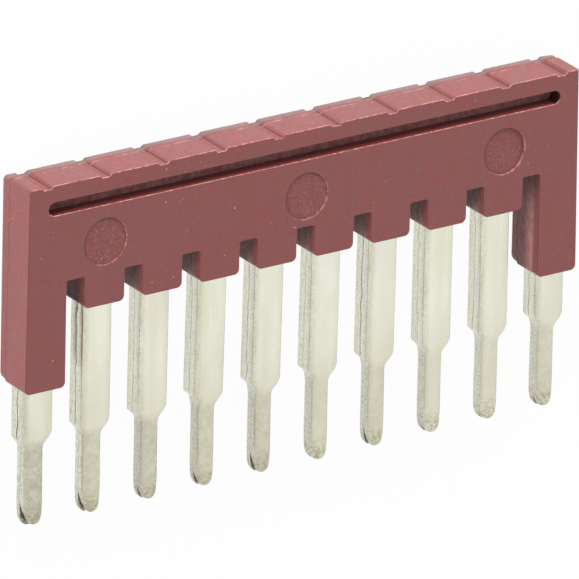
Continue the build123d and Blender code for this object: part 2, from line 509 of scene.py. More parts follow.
def finish_plastic(finish, colour, grain):
    wear_and_painted_light = finish.patches(3200, 4, 0.8, low=0.42, high=0.6, least=0.05, most=0.85)
    # A pale line, partly rubbed and partly painted highlight, on the rounds towards the grip.
    colour = finish.blend(finish.times(finish.attribute("highlight_and_wear"), wear_and_painted_light), colour, PALE_PINK)
    hidden = finish.attribute("slot_wall")
    for name in HIDDEN_LAYERS:
        hidden = finish.larger(hidden, finish.attribute(name))
    finish.set(finish.shader, {
        "Base Color": colour,
        "Roughness": finish.patches(2500, 3, 0.55, low=0.3, high=0.7, least=0.5, most=0.64),
        "Specular IOR Level": finish.rescale(hidden, 0.0, 1.0, OPEN_GLOSS, HIDDEN_GLOSS),
        "Normal": finish.bump(grain, strength=0.35, distance=0.02 * MM),
        "Subsurface Weight": 0.15,
        "Subsurface Scale": 0.4 * MM,
        "Subsurface Radius": (1.0, 0.15, 0.1),
        "Sheen Weight": 0.12,
        "Sheen Roughness": 0.5,
    })
    return finish.material


plastic = finish_plastic(plastic_finish, plastic_colour, plastic_grain)
print("nodes in all:", len(plastic_finish.nodes))

# %% [markdown]
# ## The moulding
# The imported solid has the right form, but perfectly sharp edges, where a real moulding catches a
# thin line of light. So a copy is merged, and small rounds are added to it.

# %% Merge a copy of the housing
MERGE_DISTANCE = 0.001 * MM
FLAT_ANGLE = math.radians(0.5)

moulding_shape = bmesh.new()
moulding_shape.from_mesh(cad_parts["housing"].data)
bmesh.ops.remove_doubles(moulding_shape, verts=moulding_shape.verts, dist=MERGE_DISTANCE)
bmesh.ops.dissolve_limit(
    moulding_shape, angle_limit=FLAT_ANGLE, verts=moulding_shape.verts, edges=moulding_shape.edges
)
print("merged moulding:", len(moulding_shape.faces), "faces")

# %% [markdown]
# The faces get layers: the numbers that the finish reads. The edges to be rounded are the sharp
# ones of the front face. Those round the very low ejector marks are kept apart.

# %% Find the front edges
SHARP_ANGLE = math.radians(30)
NEAR = 0.02 * MM

highlight_and_wear, crease_shade, mark, slot_floor, slot_wall, notch = [
    moulding_shape.faces.layers.float.new(name)
    for name in ("highlight_and_wear", "crease_shade", "mark", "slot_floor", "slot_wall", "notch")
]


def clamped(value):
    """A value held between nought and one."""
    return min(1.0, max(0.0, value))


def on_front(edge):
    return all(abs(vert.co.z - FRONT_Z) < NEAR for vert in edge.verts)


def mark_number(point):
    """Which ejector mark is nearest: 0 for the left one, 1 or 2."""
    return round(min(1.0, max(-1.0, point.x / MARK_SPACING))) + 1


def nearest_mark(point):
    """The middle of the nearest ejector mark."""
    return Vector(((mark_number(point) - 1) * MARK_SPACING, MARK_Y))


def from_circle(point):
    """Distance of a point from the circle of the nearest ejector mark."""
    return abs((point.xy - nearest_mark(point)).length - MARK_RADIUS)


def sharp(edge):
    return edge.is_manifold and edge.calc_face_angle() > SHARP_ANGLE


front_edges = [e for e in moulding_shape.edges if sharp(e) and on_front(e)]
rims = [e for e in front_edges if all(from_circle(vert.co) < NEAR for vert in e.verts)]
print(len(front_edges), "sharp front edges,", len(rims), "of them round the marks")

# %% [markdown]
# The front edges get a round of 0.06 mm and the rims one of 0.02 mm. Rounds that look towards the
# grip turn pale, partly rubbed and partly painted highlight: the front edge of the grip and the
# lower lip of the slot. Rounds that look to the left get painted shade.

# %% Round the front edges
EDGE_ROUND, EDGE_SEGMENTS = 0.06 * MM, 3
RIM_ROUND, RIM_SEGMENTS = 0.02 * MM, 2
HIGHLIGHT_AND_WEAR_FROM, HIGHLIGHT_AND_WEAR_GAIN = 0.15, 2.5
LEFT_EDGE_CREASE = 0.45
LOOKS_LEFT = -0.3


def bevel(shape, parts, affect, radius, segments):
    return bmesh.ops.bevel(
        shape, geom=parts, affect=affect, offset=radius, offset_type="OFFSET",
        segments=segments, profile=0.5, material=-1, clamp_overlap=False,
    )["faces"]


def bevel_edges(edges, width, segments):
    print(len(edges), "edges rounded by", round(width / MM, 3), "mm")
    return bevel(moulding_shape, edges, "EDGES", width, segments)


bevel_edges(rims, RIM_ROUND, RIM_SEGMENTS)
fronts = [
    e for e in moulding_shape.edges
    if sharp(e) and e.is_convex and on_front(e)
    and not all(from_circle(vert.co) < NEAR for vert in e.verts)
]
for face in bevel_edges(fronts, EDGE_ROUND, EDGE_SEGMENTS):
    face.normal_update()
    # A pale line, partly rubbed and partly painted highlight, on rounds that look towards the grip.
    face[highlight_and_wear] = clamped((face.normal.y - HIGHLIGHT_AND_WEAR_FROM) * HIGHLIGHT_AND_WEAR_GAIN)
    # Painted shade on rounds that look to the left.
    face[crease_shade] = LEFT_EDGE_CREASE if face.normal.x < LOOKS_LEFT else 0.0

# %% [markdown]
# The concave corners at the floor of every groove get a narrow flat bevel that carries painted
# shade, stronger on the right, where the light is blocked.

# %% Mark the corners of the grooves
GRIP_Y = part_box("housing")[1].y
GROOVE_CREASE = 0.08 * MM
GROOVE_DEPTH = 0.22 * MM
RIGHT_CREASE, LEFT_CREASE = 0.5, 0.2

groove_corners = [
    e for e in moulding_shape.edges
    if sharp(e) and not e.is_convex
    and all(abs(vert.co.y - (GRIP_Y - GROOVE_DEPTH)) < NEAR for vert in e.verts)
]
for face in bevel_edges(groove_corners, GROOVE_CREASE, 1):
    face.normal_update()
    # Painted shade in the groove corners, stronger where they look left.
    face[crease_shade] = RIGHT_CREASE if face.normal.x < 0 else LEFT_CREASE

# %% [markdown]
# The other numbers need no new faces. Mark floors, slot floor and walls, and the notch walls that
# look left are found by where they lie and which way they look.

# %% Number the recesses
SLOT_Y = 12.24 * MM
SLOT_HEIGHT = 1.1 * MM
SLOT_DEPTH = 1.25 * MM
SLOT_LENGTH = 46.59 * MM
SLOT_END_LOOKS_LEFT = -0.2
MARK_SHALLOWEST, MARK_DEEPEST = 0.03 * MM, 0.08 * MM
NOTCH_Y = 6.15 * MM
LEG_WALL_X = 21.6 * MM
GRIP_HALF_LENGTH = 24.969 * MM
END_MARGIN = 1 * MM
SQUARELY = 0.9

for face in moulding_shape.faces:
    face.normal_update()
    middle = face.calc_center_median()
    below = FRONT_Z - middle.z
    is_floor = face.normal.z > SQUARELY
    in_mark = (middle.xy - nearest_mark(middle)).length < MARK_RADIUS
    if in_mark and is_floor and MARK_SHALLOWEST < below < MARK_DEEPEST:
        face[mark] = 1.0
    in_slot = abs(middle.y - SLOT_Y) < SLOT_HEIGHT / 2 + NEAR and abs(middle.x) < SLOT_LENGTH / 2
    if in_slot and EDGE_ROUND < below < SLOT_DEPTH + NEAR:
        face[slot_floor if is_floor else slot_wall] = 1.0
        # Painted shade on the slot's right end, which looks left.
        face[crease_shade] = 1.0 if face.normal.x < SLOT_END_LOOKS_LEFT else 0.0
    in_row = middle.y < NOTCH_Y and middle.x > -GRIP_HALF_LENGTH + END_MARGIN
    if face.normal.x < -SQUARELY and in_row:
        face[notch] = LEG_WALL_NUMBER if middle.x > LEG_WALL_X - NEAR else 1.0
print("mark floors:", sum(face[mark] > 0 for face in moulding_shape.faces))
print("slot walls:", sum(face[slot_wall] > 0 for face in moulding_shape.faces))

# %% [markdown]
# Ejector pins never stand quite level, so each floor is lowered and tilted in its own way.

# %% Tilt the floors of the marks
FLOOR_TILTS = ((0.012, -0.012), (0.014, -0.01), (-0.016, -0.004))
FLOOR_DROPS = (0.04 * MM, 0.04 * MM, 0.09 * MM)

floor_verts = {vert for face in moulding_shape.faces if face[mark] > 0 for vert in face.verts}
for vert in floor_verts:
    number = mark_number(vert.co)
    offset = vert.co.xy - nearest_mark(vert.co)
    vert.co.z += Vector(FLOOR_TILTS[number]).dot(offset) - FLOOR_DROPS[number]
print(len(floor_verts), "points of the floors moved")

# %% [markdown]
# The solid has a back edge round of 0.5 mm along the grip, and grooves cut straight through it. In
# the photograph the edge is about a third as round, and each groove follows it down and shows as a
# notch in the outline. These functions say where a point lies.

# %% Where the grooves and the back edge are
POLES = 10
PITCH = 5.2
BACK_ROUND = 0.5 * MM
GROOVE_HALF = 0.57 * MM
CORNER_BACK = 0.72 * MM
PARTING_STEP = 0.03 * MM
CORNER_MIDDLE_X = GRIP_HALF_LENGTH - PARTING_STEP - CORNER_BACK
CORNER_MIDDLE_Y = GRIP_Y - PARTING_STEP - CORNER_BACK


def pole_middle(pole):
    """Where a blade stands along the row, in mm."""
    return (pole - (POLES - 1) / 2) * PITCH


def from_pole(x):
    """Distance along the row from the nearest blade."""
    place = x / (PITCH * MM) + (POLES - 1) / 2
    return abs(place - round(place)) * PITCH * MM


def in_groove(point):
    return from_pole(point.x) < GROOVE_HALF and point.y > GRIP_Y - GROOVE_DEPTH - NEAR


def near_back_edge(point):
    return point.z < BACK_ROUND + NEAR and point.y > CORNER_MIDDLE_Y - NEAR


def back_inset(point):
    """How far a point lies inside the outline of the grip's back band."""
    beyond = abs(point.x) - CORNER_MIDDLE_X
    if beyond <= 0:
        return GRIP_Y - PARTING_STEP - point.y
    return CORNER_BACK - math.hypot(beyond, point.y - CORNER_MIDDLE_Y)


def on_back_round(point):
    """True for a point on the round between the grip edge and the back face."""
    from_middle = math.hypot(BACK_ROUND - back_inset(point), BACK_ROUND - point.z)
    return near_back_edge(point) and abs(from_middle - BACK_ROUND) < NEAR


print("row from", round(pole_middle(0), 2), "to", round(pole_middle(POLES - 1), 2), "mm")

# %% [markdown]
# The merged solid has only long strips here, so it is sliced at both sides of every groove and of
# its floor, and lengthwise in the grooves. The points on the round are noted before anything moves.

# %% Slice the back edge
FLOOR_HALF = 0.325 * MM
TOP_HALF = 0.55 * MM
SLICES = (0.13, 0.19, 0.27, 0.37, 0.5)
ON_PLANE = 0.0001 * MM


def with_parts(faces):
    """Faces with their edges and points."""
    edges = {edge for face in faces for edge in face.edges}
    verts = {vert for face in faces for vert in face.verts}
    return list(verts) + list(edges) + faces


def groove_parts():
    """Faces, edges and points of all grooves."""
    return with_parts([
        face for face in moulding_shape.faces
        if in_groove(face.calc_center_median()) and all(in_groove(vert.co) for vert in face.verts)
    ])


for pole in range(POLES):
    for half in (-TOP_HALF, -FLOOR_HALF, FLOOR_HALF, TOP_HALF):
        near_back = [f for f in moulding_shape.faces if all(near_back_edge(v.co) for v in f.verts)]
        bmesh.ops.bisect_plane(
            moulding_shape, geom=with_parts(near_back), dist=ON_PLANE,
            plane_co=(pole_middle(pole) * MM + half, 0, 0), plane_no=(1, 0, 0),
        )
for z in SLICES:
    bmesh.ops.bisect_plane(
        moulding_shape, geom=groove_parts(), plane_co=(0, 0, z * MM), plane_no=(0, 0, 1),
    )
rounded = [(vert, vert.co.copy()) for vert in moulding_shape.verts if on_back_round(vert.co)]
print(len(rounded), "points on the back round")

# %% [markdown]
# The groove floors go down along the arc of the round, and the flanks follow in part. The painted
# shade in the corners ends where a groove turns down.

# %% Lead the grooves over the back edge
LOWERING_SHARE = 0.8

lowered = [part for part in groove_parts() if isinstance(part, bmesh.types.BMVert)]
for vert in lowered:
    if vert.co.z < BACK_ROUND:
        arc_drop = BACK_ROUND - math.sqrt(BACK_ROUND ** 2 - (BACK_ROUND - vert.co.z) ** 2)
        depth = GRIP_Y - vert.co.y
        room = max(GROOVE_DEPTH - arc_drop, NEAR)
        on_floor = depth > GROOVE_DEPTH - NEAR
        share = 1.0 if on_floor else clamped((depth - arc_drop) / room)
        vert.co.y -= arc_drop * share * LOWERING_SHARE
for face in moulding_shape.faces:
    middle = face.calc_center_median()
    if in_groove(middle) and middle.z < BACK_ROUND:
        face[crease_shade] = 0.0
print(len(lowered), "points in the grooves")

# %% [markdown]
# Between the grooves the points on the round are drawn out, so that 0.175 mm of it is left. At a
# groove the move fades out, which keeps the notch.

# %% Sharpen the back edge
BACK_SHARE = 0.35

for vert, place in rounded:
    beyond = abs(place.x) - CORNER_MIDDLE_X
    near = from_pole(place.x) if beyond < 0 else TOP_HALF
    kept = clamped((TOP_HALF - near) / (TOP_HALF - FLOOR_HALF))
    move = back_inset(place) * (1 - BACK_SHARE) * (1 - kept)
    outward = Vector((0, 1))
    if beyond > 0:
        above = place.y - CORNER_MIDDLE_Y
        outward = Vector((math.copysign(beyond, place.x), above)).normalized()
    vert.co.x += outward.x * move
    vert.co.y += outward.y * move
    vert.co.z = place.z * (BACK_SHARE + (1 - BACK_SHARE) * kept)
print("round left along the grip:", round(BACK_ROUND * BACK_SHARE / MM, 3), "mm")

# %% [markdown]
# The upper corners are nearly sharp at the front and rounder towards the parting line, where the
# back band takes over. The solid has one radius for each band, so both arcs are scaled.

# %% Ease the upper corners
CORNER_FRONT = 0.2 * MM
CORNER_PARTING = 0.42 * MM
FRONT_HEIGHT = FRONT_Z - EDGE_ROUND - PARTING_Z

eased = 0
for vert in moulding_shape.verts:
    beside = GRIP_HALF_LENGTH - abs(vert.co.x)
    below = GRIP_Y - vert.co.y
    at_corner = max(beside, below)
    if vert.co.z > PARTING_Z - NEAR and at_corner < CORNER_FRONT + NEAR:
        share = min(1.0, (vert.co.z - PARTING_Z) / FRONT_HEIGHT)
        step, factor = 0.0, 1 + (CORNER_PARTING / CORNER_FRONT - 1) * (1 - share)
    elif vert.co.z < PARTING_Z + NEAR and at_corner < CORNER_BACK + PARTING_STEP + NEAR:
        step, factor = PARTING_STEP, (CORNER_PARTING - PARTING_STEP) / CORNER_BACK
    else:
        continue
    vert.co.x = math.copysign(GRIP_HALF_LENGTH - step - (beside - step) * factor, vert.co.x)
    vert.co.y = GRIP_Y - step - (below - step) * factor
    eased += 1
print(eased, "corner points eased")

# %% [markdown]
# The mesh is smooth over its rounds and crisp at real corners. Weighted normals keep the flat areas
# flat next to the small rounds.

# %% Finish the moulding
CREASE_ANGLE = math.radians(32)
FLAT_WEIGHT = 85


def make_piece(name, shape, material):
    """Turns a bmesh into an object at the origin, smooth except at real corners."""
    for face in shape.faces:
        face.smooth = True
    mesh = bpy.data.meshes.new(name)
    shape.to_mesh(mesh)
    shape.free()
    mesh.set_sharp_from_angle(angle=CREASE_ANGLE)
    mesh.materials.append(material)
    piece = bpy.data.objects.new(name, mesh)
    bpy.context.scene.collection.objects.link(piece)
    weighted = piece.modifiers.new("flat_areas_stay_flat", "WEIGHTED_NORMAL")
    weighted.keep_sharp = True
    weighted.weight = FLAT_WEIGHT
    print(name, len(mesh.polygons), "faces")
    return piece


moulding = make_piece("moulding", moulding_shape, plastic)
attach(moulding, "root")
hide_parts("housing")

# %% [markdown]
# ## The tin plating
# Stamped copper alloy with a thin tin coat: ivory on the broad faces, greyer on the sheared sides
# and the shafts, rosy or olive where the coat is thin. Here too colours are laid over each other,
# and the mesh says which part of a blade each point belongs to.

# %% Colours of the tin
IVORY = (0.78, 0.78, 0.63, 1)
CREAM = (0.84, 0.845, 0.74, 1)
BEIGE = (0.63, 0.6, 0.46, 1)
ROSY = (0.66, 0.53, 0.46, 1)
GREY_GREEN = (0.79, 0.8, 0.71, 1)
DULL_GREY = (0.5, 0.49, 0.4, 1)
GRIME_GREY = (0.4, 0.4, 0.35, 1)
RIM_PAINTED_SHADE = (0.3, 0.3, 0.26, 1)
OLIVE = (0.36, 0.34, 0.2, 1)
EDGE_PAINTED_REFLECTION = (0.5, 0.46, 0.34, 1)
ROSY_BROWN = (0.36, 0.29, 0.22, 1)
OXIDE_AND_SHADE = (0.07, 0.06, 0.035, 1)

tin_finish = Finish("tin_plating")
long_bands = tin_finish.noise(900, 2, 0.5, stretch=(1, 0.08, 1))
speckle = tin_finish.noise(5200, 4, 0.7)
print("finish:", tin_finish.material.name)

# %% [markdown]
# Long bands run down the blades, with beige patches and more beige lower down. The shafts are
# duller, the sheared sides grey green, and some of them grimy.

# %% The coat
TINT_SHARE = 0.4
SHAFT_BEIGE_SHARE = 0.55
SIDE_SHARE = 0.85
BEIGE_FROM, BEIGE_FULLY, BEIGE_MOST = -2.5 * MM, -6.3 * MM, 0.35


def coat_colour(finish):
    shaft = finish.attribute("shaft")
    patches = finish.patches(330, 4, 0.6, low=0.45, high=0.7, most=0.35, stretch=(1, 0.4, 1))
    colour = finish.blend(finish.rescale(long_bands, 0.38, 0.62), IVORY, CREAM)
    colour = finish.blend(patches, colour, BEIGE)
    colour = finish.blend(finish.times(finish.attribute("tint"), TINT_SHARE), colour, ROSY)
    along = finish.part_of(finish.place, "Y")
    lower = finish.rescale(along, BEIGE_FROM, BEIGE_FULLY, 0.0, BEIGE_MOST)
    colour = finish.blend(lower, colour, BEIGE)
    colour = finish.blend(finish.times(shaft, SHAFT_BEIGE_SHARE), colour, BEIGE)
    dull = finish.patches(800, 4, 0.65, low=0.35, high=0.65, least=0.2, most=0.9)
    colour = finish.blend(finish.times(shaft, dull), colour, DULL_GREY)
    side = finish.times(finish.attribute("side"), SIDE_SHARE)
    colour = finish.blend(side, colour, GREY_GREEN)
    grime = finish.rescale(speckle, 0.35, 0.6, 0.4, 0.85)
    return finish.blend(finish.times(finish.attribute("grime"), grime), colour, GRIME_GREY)


tin_colour = coat_colour(tin_finish)
print("nodes for the coat:", len(tin_finish.nodes))

# %% [markdown]
# A painted reflection in brown patches lies on the rolled edges, olive mottle and fine lines where
# the metal was sheared, scuffs on the shafts, painted shade as a dark line down the right edge, and
# a rosy brown smudge on the dull tips.

# %% Stains and scuffs
BARE_SHARE = 0.05
SHAFT_SCUFF_SHARE = 0.45


def scuffed_colour(finish, colour):
    side, edge = finish.attribute("side"), finish.attribute("edge")
    tip, shaft = finish.attribute("tip"), finish.attribute("shaft")
    dark_patches = finish.patches(
        1100, 3, 0.6, low=0.3, high=0.65, least=0.1, most=0.5, stretch=(1, 0.3, 1),
    )
    # Painted reflection on the rolled edges, in brown patches.
    colour = finish.blend(finish.times(edge, dark_patches), colour, EDGE_PAINTED_REFLECTION)
    wear_and_painted_light = finish.maths("ADD", finish.larger(finish.larger(side, tip), edge), BARE_SHARE)
    mottle = finish.rescale(speckle, 0.47, 0.62, 0.0, 0.4)
    colour = finish.blend(finish.times(mottle, wear_and_painted_light), colour, OLIVE)
    lines = finish.patches(2600, 3, 0.6, low=0.56, high=0.7, most=0.3, stretch=(1, 0.16, 1))
    colour = finish.blend(finish.times(lines, finish.larger(side, edge)), colour, OLIVE)
    scuffs = finish.patches(2600, 4, 0.8, low=0.46, high=0.57, most=0.8)
    scuffed = finish.larger(tip, finish.times(shaft, SHAFT_SCUFF_SHARE))
    colour = finish.blend(finish.times(scuffs, scuffed), colour, OLIVE)
    rim = finish.patches(1300, 3, 0.6, low=0.35, high=0.6, least=0.35, most=0.85)
    # Painted shade: a dark line down the right rolled edge.
    colour = finish.blend(finish.times(finish.attribute("rim"), rim), colour, RIM_PAINTED_SHADE)
    smudge = finish.patches(1700, 4, 0.7, low=0.35, high=0.62, least=0.1, most=0.75)
    return finish.blend(finish.times(finish.times(tip, shaft), smudge), colour, ROSY_BROWN)


tin_colour = scuffed_colour(tin_finish, tin_colour)
print("nodes with the scuffs:", len(tin_finish.nodes))

# %% [markdown]
# Pits on the sides and the tips are dark oxide, and the seam between the leaves gets the same dark
# colour as painted shade. The gloss varies with the long bands, and the bump reads the speckle and
# the pits.

# %% Pits, seam and gloss
PIT_LEAST_CHANCE, PIT_RADIUS = 0.6, 0.26
PIT_SHARE = 0.5


def finish_tin(finish, colour):
    pitted = finish.larger(finish.attribute("side"), finish.attribute("tip"))
    distance, chance = finish.dots(3200, stretch=(1, 0.6, 1))
    reach = finish.rescale(chance, PIT_LEAST_CHANCE, 1.0, 0.0, PIT_RADIUS)
    pit = finish.times(finish.maths("LESS_THAN", distance, reach), pitted)
    colour = finish.blend(finish.times(pit, PIT_SHARE), colour, OXIDE_AND_SHADE)
    broken = finish.patches(3400, 3, 0.7, low=0.36, high=0.56, least=0.25)
    # Painted shade in the seam between the leaves and in the split of the tips.
    colour = finish.blend(finish.times(finish.attribute("seam"), broken), colour, OXIDE_AND_SHADE)
    height = finish.maths("SUBTRACT", speckle, pit)
    finish.set(finish.shader, {
        "Base Color": colour,
        "Roughness": finish.rescale(long_bands, 0.3, 0.7, 0.3, 0.42),
        "Normal": finish.bump(height, strength=0.25, distance=0.03 * MM),
        "Metallic": 1.0,
    })
    return finish.material


tin = finish_tin(tin_finish, tin_colour)
print("nodes in all:", len(tin_finish.nodes))

# %% [markdown]
# ## The comb
# The real comb is one strip folded lengthwise, so each blade is two leaves back to back. A single
# solid with a painted line would lose the seam and the split tips, so each leaf is its own closed
# form: a prism, sliced at many heights, whose points then move into place. It is drawn in mm.

# %% Sizes of the comb
BLADE_WIDTH = 2.6
SHAFT_WIDTH = 1.56
LEAF = 0.8
SEAM_Z = 2.17
WEB_Y = 6.89
TOOTH_Y = 3.5
BLADE_END_Y = -6.3
SHAFT_Y = -7.55
NOSE_Y = -12.95
TIP_Y = -14.15


def smooth_step(value, start, end):
    """Nought before start, one after end, and a soft S between them."""
    share = clamped((value - start) / (end - start))
    return share * share * (3 - 2 * share)


def between(first, second, share):
    return first + (second - first) * share


print(POLES, "blades at", PITCH, "mm")

# %% [markdown]
# No two blades of the real bar are the same. Each row says how far a blade stands aside, how open
# its seam is, how much lower its left shoulder is, how high and wide its tip is split, how much
# shorter the front leaf and wider the shaft is, and how rosy, dull and grimy it is. Lengths are in
# mm.

# %% What differs from blade to blade
BLADE_FACTS = (
    "aside", "seam", "drop", "split", "open", "shorter", "wider", "tint", "dull", "grime",
)
BLADE_ROWS = (
    (-0.03, 1.0, 0.55, 2.0, 0.11, 0.2, 0.19, 0.25, 1.0, 0.0),
    (-0.03, 0.8, 0.4, 1.8, 0.1, 0.1, 0.14, 0.05, 0.6, 0.1),
    (-0.05, 0.2, 0.45, 1.0, 0.05, 0.08, 0.02, 0.35, 0.7, 0.8),
    (-0.13, 0.35, -0.05, 1.2, 0.07, 0.08, 0.0, 0.1, 0.6, 0.7),
    (-0.11, 0.45, 0.05, 1.8, 0.08, 0.06, 0.0, 0.15, 0.6, 0.6),
    (-0.08, 0.1, 0.1, 0.5, 0.02, 0.0, 0.0, 0.15, 0.25, 0.7),
    (-0.07, 0.7, 0.15, 1.6, 0.06, 0.05, 0.0, 0.2, 0.4, 0.6),
    (-0.01, 0.25, 0.15, 0.6, 0.03, 0.05, 0.0, 0.0, 0.15, 0.8),
    (0.05, 0.3, 0.2, 0.5, 0.02, 0.05, 0.0, 0.05, 0.2, 0.5),
    (0.06, 0.35, 0.1, 0.8, 0.04, 0.05, 0.0, 0.3, 0.4, 0.5),
)
BLADES = [dict(zip(BLADE_FACTS, row)) for row in BLADE_ROWS]
splits = [blade["split"] for blade in BLADES]
print("split tips from", min(splits), "to", max(splits), "mm")

# %% [markdown]
# The slices lie close together where the shape changes: at the shoulders and at the nose.

# %% Stations down a blade
SHOULDER_ABOVE, SHOULDER_BELOW = 0.2, 0.7
SHOULDER_STEPS = 22
BLADE_STEP = 0.28
SHAFT_STEP = 0.3
NOSE_STEPS = 14
HIDDEN_LENGTH = 0.5


def evenly(top, bottom, step):
    """Heights from top down to bottom, with both ends."""
    count = max(1, round((top - bottom) / step))
    return [between(top, bottom, i / count) for i in range(count + 1)]


def station_heights():
    """Heights from the web down to the tip, in mm."""
    shoulder_top = BLADE_END_Y + SHOULDER_ABOVE
    shoulder_bottom = SHAFT_Y - SHOULDER_BELOW
    shoulder_step = (shoulder_top - shoulder_bottom) / SHOULDER_STEPS
    heights = [WEB_Y] + evenly(TOOTH_Y + HIDDEN_LENGTH, shoulder_top, BLADE_STEP)
    heights += evenly(shoulder_top, shoulder_bottom, shoulder_step)[1:]
    heights += evenly(shoulder_bottom, NOSE_Y, SHAFT_STEP)[1:]
    nose = [math.sin(i / NOSE_STEPS * math.pi / 2) for i in range(1, NOSE_STEPS + 1)]
    return heights + [between(NOSE_Y, TIP_Y, share) for share in nose]


STATIONS = station_heights()
print(len(STATIONS), "stations")

# %% [markdown]
# A leaf starts as its outline at the web. The stamping die rolls the corners of its outer face, and
# those at the seam are nearly sharp.

# %% One leaf outline
OUTER_CORNER, OUTER_SEGMENTS = 0.28, 5
INNER_CORNER, INNER_SEGMENTS = 0.06, 2
BROAD_CUTS = 5


def leaf_outline(shape):
    """A rounded rectangle with its seam side on z = 0 and its outer face on z = LEAF."""
    half = BLADE_WIDTH / 2
    corners = [(-half, 0), (half, 0), (half, LEAF), (-half, LEAF)]
    shape.faces.new([shape.verts.new((x, WEB_Y, z)) for x, z in corners])
    outer = [vert for vert in shape.verts if vert.co.z > LEAF / 2]
    inner = [vert for vert in shape.verts if vert.co.z < LEAF / 2]
    bevel(shape, outer, "VERTICES", OUTER_CORNER, OUTER_SEGMENTS)
    bevel(shape, inner, "VERTICES", INNER_CORNER, INNER_SEGMENTS)
    broad = [edge for edge in shape.edges if edge.calc_length() > half]
    bmesh.ops.subdivide_edges(shape, edges=broad, cuts=BROAD_CUTS)
    return shape.faces[:]


probe = bmesh.new()
leaf_outline(probe)
print("a leaf's outline has", len(probe.verts), "points")
probe.free()

# %% [markdown]
# The left shoulder is shorter and lower than the right one. The nose is a blunt bullet, and the
# left side of the front leaf slants away earlier, which bares the split.

# %% Width of a leaf
LEFT_SHOULDER = 0.65
SHOULDER_SOFTNESS = 0.6
TAPER, TAPER_LENGTH = 0.1, 1.3
NOSE_END_SHARE = 0.26
NOSE_BLUNTNESS = 2.1
SLANT, SLANT_POWER = 0.6, 1.4
WIDE_OPEN = 0.1


def split_share(y, blade):
    """Nought above the split of a tip, rising to one at its end."""
    return max(0.0, (TIP_Y + blade["split"] - y) / blade["split"])


def half_width(y, left, facing, blade):
    """Half the width of a leaf on one side; facing is 1 for the front leaf, -1 for the back."""
    start, end = BLADE_END_Y, SHAFT_Y
    if left:
        start, end = start - blade["drop"], start - blade["drop"] - LEFT_SHOULDER
    share = clamped((start - y) / (start - end))
    share = between(share, smooth_step(y, start, end), SHOULDER_SOFTNESS)
    half = between(BLADE_WIDTH, SHAFT_WIDTH, share) / 2
    half *= 1 - TAPER * smooth_step(y, NOSE_Y + TAPER_LENGTH, TIP_Y)
    if left:
        half += blade["wider"] * share
    depth = max(0.0, (NOSE_Y - y) / (NOSE_Y - TIP_Y))
    round_off = max(0.0, 1 - depth ** NOSE_BLUNTNESS) ** (1 / NOSE_BLUNTNESS)
    if left and facing > 0:
        slant = SLANT * min(1.0, blade["open"] / WIDE_OPEN)
        round_off *= 1 - slant * split_share(y, blade) ** SLANT_POWER
    return half * between(NOSE_END_SHARE, 1.0, round_off)


print("half width of a blade:", half_width(0, False, 1, BLADES[0]), "mm")

# %% [markdown]
# The seam side and the outer face are measured from the middle of the blade. The seam wanders,
# since a folded strip never closes evenly. Below the shoulder the leaves are pressed together, and
# at the tip they open again.

# %% Thickness of a leaf
BLADE_HALF = 0.86
SHAFT_HALF_TOP, SHAFT_HALF_LOW = 0.74, 0.79
SWELL_LENGTH = 1.5
BACK_FLARE = 0.1
FOLD_SPREAD, SPREAD_LENGTH = 0.06, 2
TIP_ROUND, TIP_DEPTH = 0.5, 0.28
SEAM_GAP, PRESSED_GAP = 0.04, 0.004
COINING_ABOVE = 0.3


def wobble(y, seed, scale):
    """Small smooth noise along a blade, between about -1 and 1."""
    return noise.noise(Vector((seed * 7.31, y * scale, 0.5)))


def seam_side(y, pole, facing, blade):
    """Distance of a leaf's seam side from the middle of the blade."""
    rough = 1 + 0.5 * wobble(y, pole, 0.7) + 0.4 * wobble(y, pole + 40, 3.0)
    folded = max(PRESSED_GAP, SEAM_GAP * blade["seam"] * rough)
    wander = 0.13 * wobble(y, pole + 80, 0.9) + 0.12 * wobble(y, pole + 60, 1.9)
    coined = smooth_step(y, BLADE_END_Y - COINING_ABOVE, SHAFT_Y)
    gap = between(folded + facing * wander, PRESSED_GAP, coined)
    return gap + blade["open"] * split_share(y, blade)


def outer_side(y, facing, blade):
    """Distance from the middle of the blade to a leaf's outer face."""
    swell = smooth_step(y, SHAFT_Y - SWELL_LENGTH, TIP_Y)
    shaft = between(SHAFT_HALF_TOP, SHAFT_HALF_LOW, swell)
    if facing < 0:
        shaft += BACK_FLARE
    spread = FOLD_SPREAD * blade["seam"] * smooth_step(y, TOOTH_Y, TOOTH_Y - SPREAD_LENGTH)
    outer = between(BLADE_HALF + spread, shaft, smooth_step(y, BLADE_END_Y, SHAFT_Y))
    depth = max(0.0, (TIP_Y + TIP_ROUND - y) / TIP_ROUND)
    return outer - TIP_DEPTH * (1 - math.sqrt(max(0.0, 1 - depth * depth)))


print("a shaft is", 2 * SHAFT_HALF_TOP + BACK_FLARE, "mm thick at its top")

# %% [markdown]
# Below the shoulder the section is coined nearly round: the broad face bows and the sides draw in.
# This function takes a point of the sliced prism and gives its place on the real leaf.

# %% Place of a point
CROWN = 0.015
SHAFT_ROLL = 0.17
SHAFT_DRAW_IN = 0.09
SEAM_CORNER = 0.94
LEAN_ABOVE = 1
SHORT_LENGTH = 1


